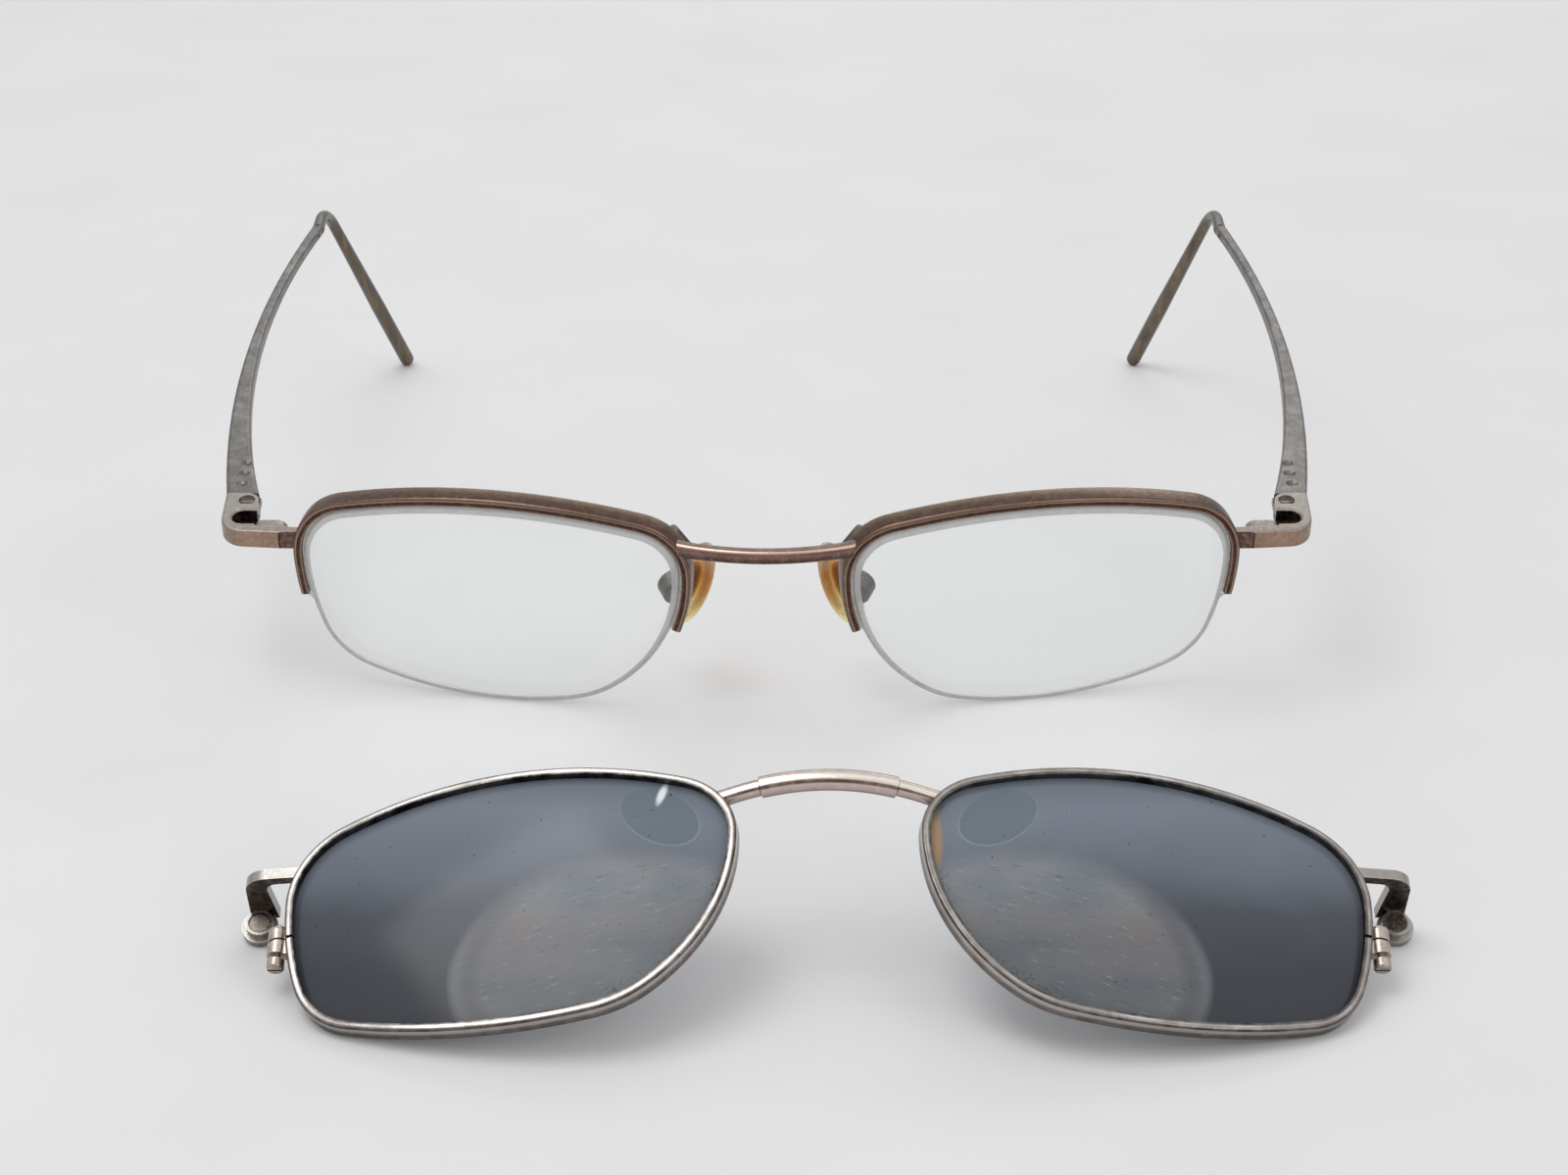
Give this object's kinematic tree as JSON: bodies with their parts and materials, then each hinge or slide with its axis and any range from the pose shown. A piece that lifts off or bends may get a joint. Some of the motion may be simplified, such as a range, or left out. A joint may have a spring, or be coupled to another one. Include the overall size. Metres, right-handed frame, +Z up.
{
  "type": "half-rim eyeglasses with magnetic sun clip",
  "caption": "Half-rim metal eyeglasses with folding temples and rocking nose pads, with a rimmed sun clip that hooks over the endpieces and is held by magnets",
  "frame": {"origin": "middle of the footprint on the table, in the plane that both pieces rest on", "axes": "X across the front, Y from the clip in front to the ear tips behind, Z up; the fronts face -Y"},
  "size_m": [0.1405, 0.2058, 0.0338],
  "materials": {
    "front_metal": "worn satin lacquer",
    "temple_metal": "satin gunmetal",
    "clip_metal": "polished, scratched",
    "lock_metal": "worn bronze plating",
    "holder_metal": "satin",
    "magnet_plating": "worn nickel plating",
    "screw_steel": "turned",
    "pad_fitting": "aged plating",
    "clear_lens": "polished",
    "sun_lens": "worn tint",
    "clear_nylon": "clear",
    "pad_silicone": "yellowed, smooth",
    "tip_plastic": "gloss, worn"
  },
  "bodies": {
    "front": {"bridge": "front_metal", "left_upper_rim": "front_metal", "left_rim_liner": "clear_nylon", "left_lens": "clear_lens", "left_lens_cord": "clear_nylon", "left_endpiece": "front_metal", "left_magnet_holder": "holder_metal", "left_frame_magnet": "magnet_plating", "left_hinge_screw": "screw_steel", "left_pad_arm": "pad_fitting", "left_pad_box": "pad_fitting", "left_pad_screw": "screw_steel", "right_upper_rim": "front_metal", "right_rim_liner": "clear_nylon", "right_lens": "clear_lens", "right_lens_cord": "clear_nylon", "right_endpiece": "front_metal", "right_magnet_holder": "holder_metal", "right_frame_magnet": "magnet_plating", "right_hinge_screw": "screw_steel", "right_pad_arm": "pad_fitting", "right_pad_box": "pad_fitting", "right_pad_screw": "screw_steel"},
    "left_side": {"left_temple": "temple_metal", "left_ear_tip": "tip_plastic"},
    "right_side": {"right_temple": "temple_metal", "right_ear_tip": "tip_plastic"},
    "left_pad": {"left_nose_pad": "pad_silicone", "left_pad_insert": "pad_fitting"},
    "right_pad": {"right_nose_pad": "pad_silicone", "right_pad_insert": "pad_fitting"},
    "clip": {"clip_bridge": "clip_metal", "left_clip_rim": "clip_metal", "left_clip_lens": "sun_lens", "left_clip_arm": "clip_metal", "left_clip_magnet": "magnet_plating", "left_clip_lock_upper": "lock_metal", "left_clip_lock_lower": "lock_metal", "left_clip_lock_screw": "screw_steel", "right_clip_rim": "clip_metal", "right_clip_lens": "sun_lens", "right_clip_arm": "clip_metal", "right_clip_magnet": "magnet_plating", "right_clip_lock_upper": "lock_metal", "right_clip_lock_lower": "lock_metal", "right_clip_lock_screw": "screw_steel"}
  },
  "joints": [
    {"name": "left_temple_fold", "type": "hinge", "parent": "front", "child": "left_side", "pos_m": [0.0642, -0.00831, 0.02196], "axis": [0, -0.2361, 0.9717], "range_deg": [0, 88]},
    {"name": "left_pad_rock", "type": "hinge", "parent": "front", "child": "left_pad", "pos_m": [0.01061, -0.01467, 0.01465], "axis": [-0.4209, -0.8257, -0.3756], "range_deg": [-7, 7]},
    {"name": "right_temple_fold", "type": "hinge", "parent": "front", "child": "right_side", "pos_m": [-0.0649, -0.00831, 0.02196], "axis": [0, 0.2361, -0.9717], "range_deg": [0, 78]},
    {"name": "right_pad_rock", "type": "hinge", "parent": "front", "child": "right_pad", "pos_m": [-0.01131, -0.01467, 0.01465], "axis": [0.4209, -0.8257, -0.3756], "range_deg": [-7, 7]},
    {"name": "clip_lift", "type": "slide", "parent": "front", "child": "clip", "axis": [0, 0, 1], "range_m": [0, 0.06]}
  ]
}
